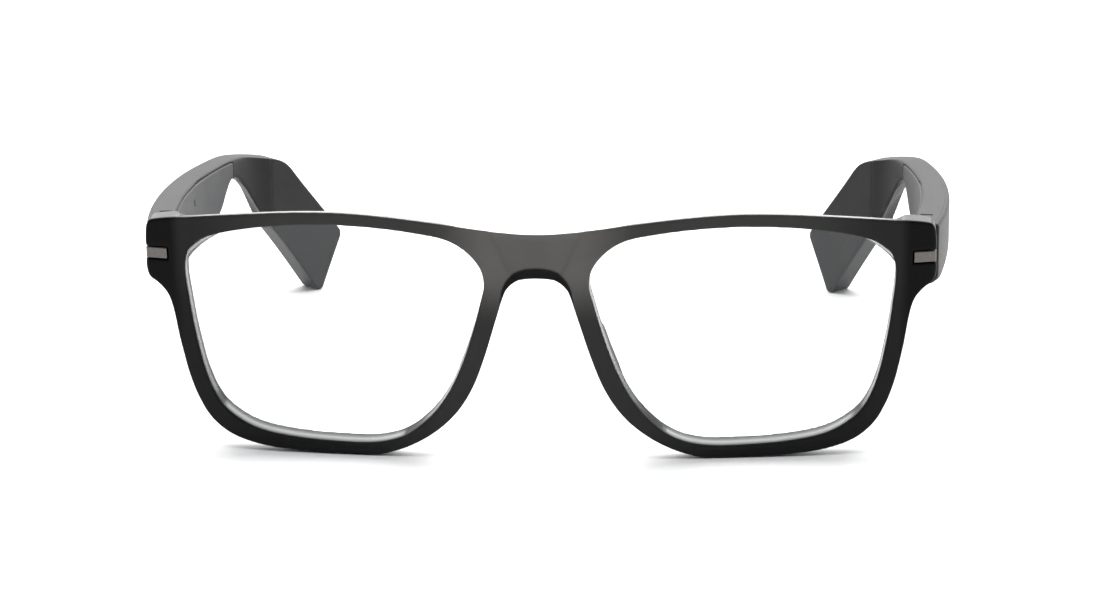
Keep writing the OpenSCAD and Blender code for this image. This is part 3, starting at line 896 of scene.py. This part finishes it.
def smoky_plastic():
    """The front: smoke-coloured, with painted light and shade set by place: palest at the bridge, near
    black at the corners and the low rims, and painted shade over the nose arch.
    """
    n = Nodes("smoky_plastic")
    x, _, z = n.position()
    side = n.add("Math", {"operation": "ABSOLUTE"}, i0=x).outputs[0]
    # Painted light and shade by place: lighter over the bridge, darker on the low rims, near black at
    # the corners.
    high = n.ranged(z, 0.026, 0.037, 0, 1)
    low_rim_painted_shade = n.mixed(n.ranged(side, 0.015, 0.04, 0, 1), grey(0.03), grey(0.012))
    bridge_painted_light, beside = grey(0.12, (1, 0.97, 0.93)), grey(0.042, (1, 0.99, 0.96))
    bar = n.mixed(n.ranged(side, 0.007, 0.02, 0, 1), bridge_painted_light, beside)
    bar = n.mixed(n.ranged(side, 0.044, 0.064, 0, 1), bar, grey(0.018))
    tone = n.mixed(high, low_rim_painted_shade, bar)
    tone = n.mixed(n.ranged(side, 0.0655, 0.068, 0, 1), tone, grey(0.0025, (0.92, 1, 1.1)))
    # Painted shade along the nose arch.
    arch = n.add("Attribute", {"attribute_name": "arch"}).outputs["Fac"]
    tone = n.mixed(arch, tone, grey(0.003))
    polish = n.add("Attribute", {"attribute_name": "polish"}).outputs["Fac"]
    cloud = n.noise(55, 3)
    tone = n.mixed(n.ranged(cloud, 0.3, 0.7, 0, 0.16), tone, grey(0.004))
    speck = n.noise(4600, 2)
    rough = n.ranged(speck, 0.3, 0.7, 0.36, 0.46)
    shader = n.add(
        "BsdfPrincipled", Base_Color=tone, Roughness=rough, Normal=n.bump(speck, FRONT_GRAIN * MM),
        IOR=1.5, Specular_IOR_Level=0.06, Coat_Weight=polish, Coat_Roughness=0.15, Coat_IOR=1.5,
    )
    return n.done(shader.outputs[0])


def clear_lens():
    """A clear coated lens: what is behind shows through, with a faint surface reflection."""
    n = Nodes("clear_lens")
    smear = n.noise(120, 3)
    rough = n.ranged(smear, 0.3, 0.7, 0.0, 0.03)
    gloss = n.add("BsdfGlossy", Color=grey(0.9, (0.95, 1, 1.05)), Roughness=rough)
    through = n.add("BsdfTransparent", Color=grey(0.985, (0.995, 1, 1)))
    facing = n.add("Fresnel", IOR=1.25).outputs[0]
    shader = n.add("MixShader", i0=facing, i1=through.outputs[0], i2=gloss.outputs[0])
    return n.done(shader.outputs[0])


def brushed(name, colour, roughness=0.32, stretch=(1, 14, 14)):
    """Satin metal. Its brush lines run along the direction with the smallest stretch."""
    n = Nodes(name)
    lines = n.noise(700, 4, stretch)
    dark = tuple(c * 0.72 for c in colour[:3]) + (1,)
    tone = n.mixed(n.ranged(lines, 0.3, 0.7, 0, 1), dark, colour)
    rough = n.ranged(lines, 0.3, 0.7, roughness, roughness + 0.14)
    shader = n.add(
        "BsdfPrincipled", Base_Color=tone, Metallic=1.0, Roughness=rough,
        Normal=n.bump(lines, BRUSH_DEPTH * MM),
    )
    return n.done(shader.outputs[0])


def circuit_board():
    """Green solder mask over copper tracks."""
    n = Nodes("board")
    place = n.add("TexCoord").outputs["Object"]
    bricks = n.add("TexBrick", {"offset": 0.5}, Vector=place, Scale=900.0, Mortar_Size=0.03)
    traces = bricks.outputs["Fac"]
    grain = n.noise(2500, 2)
    tone = n.mixed(traces, grey(1, (0.012, 0.085, 0.04)), grey(1, (0.03, 0.16, 0.07)))
    tone = n.mixed(n.ranged(grain, 0.4, 0.6, 0, 0.2), tone, grey(0.02))
    relief = n.bump(traces, TRACK_HEIGHT * MM)
    shader = n.add("BsdfPrincipled", Base_Color=tone, Roughness=0.35, Normal=relief)
    return n.done(shader.outputs[0])


def pale_floor():
    n = Nodes("pale_floor")
    tone = n.mixed(n.ranged(n.noise(3, 2), 0.4, 0.6, 0, 1), grey(0.86), grey(0.88))
    shader = n.add("BsdfPrincipled", Base_Color=tone, Roughness=0.9, Specular_IOR_Level=0.1)
    return n.done(shader.outputs[0])


# ---- stage ----

CAMERA_AT = (0.04134, -0.66053, 0.2024)
CAMERA_TURN = math.radians(3.77)
CAMERA_PITCH = math.radians(16.05)
CAMERA_ROLL = math.radians(-0.68)
CAMERA_LENS = 112.9
SENSOR_WIDTH = 36

FLOOR_HALF = 3.0
FLOOR_SQUARES = 24
FLOOR_DROP = 0.02


def camera():
    """The camera, turned, pitched down and rolled a little."""
    forward = Vector((
        -math.sin(CAMERA_TURN) * math.cos(CAMERA_PITCH),
        math.cos(CAMERA_TURN) * math.cos(CAMERA_PITCH),
        -math.sin(CAMERA_PITCH),
    ))
    level = Vector((math.cos(CAMERA_TURN), math.sin(CAMERA_TURN), 0))
    upright = level.cross(forward)
    right = math.cos(CAMERA_ROLL) * level + math.sin(CAMERA_ROLL) * upright
    up = -math.sin(CAMERA_ROLL) * level + math.cos(CAMERA_ROLL) * upright
    data = bpy.data.cameras.new("camera")
    data.lens = CAMERA_LENS
    data.sensor_width = SENSOR_WIDTH
    view = bpy.data.objects.new("camera", data)
    turn = Matrix((right, up, -forward)).transposed().to_4x4()
    view.matrix_world = Matrix.Translation(CAMERA_AT) @ turn
    bpy.context.scene.collection.objects.link(view)
    bpy.context.scene.camera = view


def floor():
    """A wide pale floor, divided into squares."""
    count = FLOOR_SQUARES
    line = np.linspace(-FLOOR_HALF, FLOOR_HALF, count + 1) / MM
    gx, gy = np.meshgrid(line, line, indexing="ij")
    points = np.column_stack([gx.ravel(), gy.ravel(), np.full(gx.size, -FLOOR_DROP)])
    i, j = np.meshgrid(np.arange(count), np.arange(count), indexing="ij")
    corner = (i * (count + 1) + j).ravel()
    quads = np.column_stack([corner, corner + count + 1, corner + count + 2, corner + 1])
    piece = mesh_object("floor", points, quads)
    piece.data.materials.append(pale_floor())


def softbox(name, at, target, size, power):
    """A rectangular lamp that faces its target."""
    data = bpy.data.lights.new(name, "AREA")
    data.shape = "RECTANGLE"
    data.size, data.size_y = size
    data.energy = power
    lamp = bpy.data.objects.new(name, data)
    lamp.location = at
    lamp.rotation_euler = (Vector(target) - Vector(at)).to_track_quat("-Z", "Y").to_euler()
    bpy.context.scene.collection.objects.link(lamp)


def studio():
    """Soft white light from above and behind, with a dim side towards the front."""
    softbox("overhead", (0, 0.2, 1.1), (0, 0.02, 0), (1.8, 1.4), 27)
    softbox("back", (0, 1.4, 0.72), (0, 0, 0.02), (2.4, 0.8), 26)
    softbox("side", (1.5, 0.7, 0.35), (0.05, 0, 0.02), (0.7, 0.5), 5)
    world = bpy.data.worlds.new("studio")
    world.use_nodes = True
    tree = world.node_tree
    tree.nodes.clear()
    place = tree.nodes.new("ShaderNodeTexCoord")
    split = tree.nodes.new("ShaderNodeSeparateXYZ")
    shade = tree.nodes.new("ShaderNodeMapRange")
    shade.interpolation_type = "SMOOTHSTEP"
    for key, value in (("From Min", -0.9), ("From Max", 0.1), ("To Min", 0.10), ("To Max", 0.85)):
        shade.inputs[key].default_value = value
    sky = tree.nodes.new("ShaderNodeBackground")
    output = tree.nodes.new("ShaderNodeOutputWorld")
    tree.links.new(place.outputs["Generated"], split.inputs[0])
    tree.links.new(split.outputs["Y"], shade.inputs["Value"])
    tree.links.new(shade.outputs[0], sky.inputs["Strength"])
    tree.links.new(sky.outputs[0], output.inputs["Surface"])
    bpy.context.scene.world = world
    bpy.context.scene.view_settings.view_transform = "Standard"


# ---- assembly ----


def build_front(look):
    finished(front_frame(), "front", look["smoky_plastic"], "smoky_plastic", "front_frame")
    for sign in (1, -1):
        side = side_name(sign)
        finished(lens(sign), "front", look["clear_lens"], "clear_lens", side + "_lens")
        inlay = corner_inlay(sign)
        finished(inlay, "front", look["brushed_inlay"], "brushed_inlay", side + "_corner_inlay")


def build_temples(look):
    finish = {
        "temple_shell": "temple_plastic", "inner_cover": "cover_plastic", "temple_tip": "tip_plastic",
    }
    for sign in (1, -1):
        side = side_name(sign)
        for part, piece in temple_parts(sign).items():
            finished(piece, side + "_temple", look[finish[part]], finish[part], f"{side}_{part}")
    finished(press_button(), "button", look["temple_plastic"], "temple_plastic", "press_button")


def dress_cad_nodes(look):
    """Gives each CAD node that stays in view its own material."""
    kinds = {
        "hinge_leaf": "hinge_metal", "hinge_screw": "hinge_metal", "leaf_screws": "hinge_metal",
        "core_strip": "hinge_metal", "battery": "cell_foil", "circuit_board": "board",
        "speaker_mesh": "mesh_metal", "speaker": "speaker_can", "microphone": "mic_can",
        "charging_contacts": "contact_gold", "status_light": "light_pipe", "button_switch": "mic_can",
    }
    for name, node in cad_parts.items():
        kind = next((kinds[word] for word in kinds if word in name), None)
        if kind:
            node.data.materials.clear()
            node.data.materials.append(look[kind])


def materials():
    """Every material, by name."""
    cool, warm = (0.98, 1, 1.03), (1.05, 1, 1)
    return {
        "smoky_plastic": smoky_plastic(),
        "clear_lens": clear_lens(),
        "temple_plastic": moulded("temple_plastic", grey(0.022), grey(0.018)),
        "cover_plastic": moulded("cover_plastic", grey(0.064, cool), grey(0.055, cool)),
        "tip_plastic": moulded("tip_plastic", grey(0.034, warm), grey(0.03, warm)),
        "brushed_inlay": brushed("brushed_inlay", grey(0.13, (1.05, 0.97, 0.92))),
        "hinge_metal": brushed("hinge_metal", grey(0.55), 0.26),
        "cell_foil": brushed("cell_foil", grey(0.62, (1, 1, 1.03)), 0.36, (1, 3, 3)),
        "board": circuit_board(),
        "speaker_can": brushed("speaker_can", grey(0.2), 0.4, (3, 3, 1)),
        "mesh_metal": brushed("mesh_metal", grey(0.3), 0.35, (5, 1, 5)),
        "mic_can": brushed("mic_can", grey(0.6, (1, 0.97, 0.9)), 0.3, (2, 2, 2)),
        "contact_gold": brushed("contact_gold", grey(1, (0.8, 0.55, 0.2)), 0.22, (2, 2, 2)),
        "light_pipe": moulded("light_pipe", grey(0.02), grey(0.015), (0.1, 0.2)),
    }


camera()
floor()
studio()
look = materials()
build_front(look)
build_temples(look)
dress_cad_nodes(look)
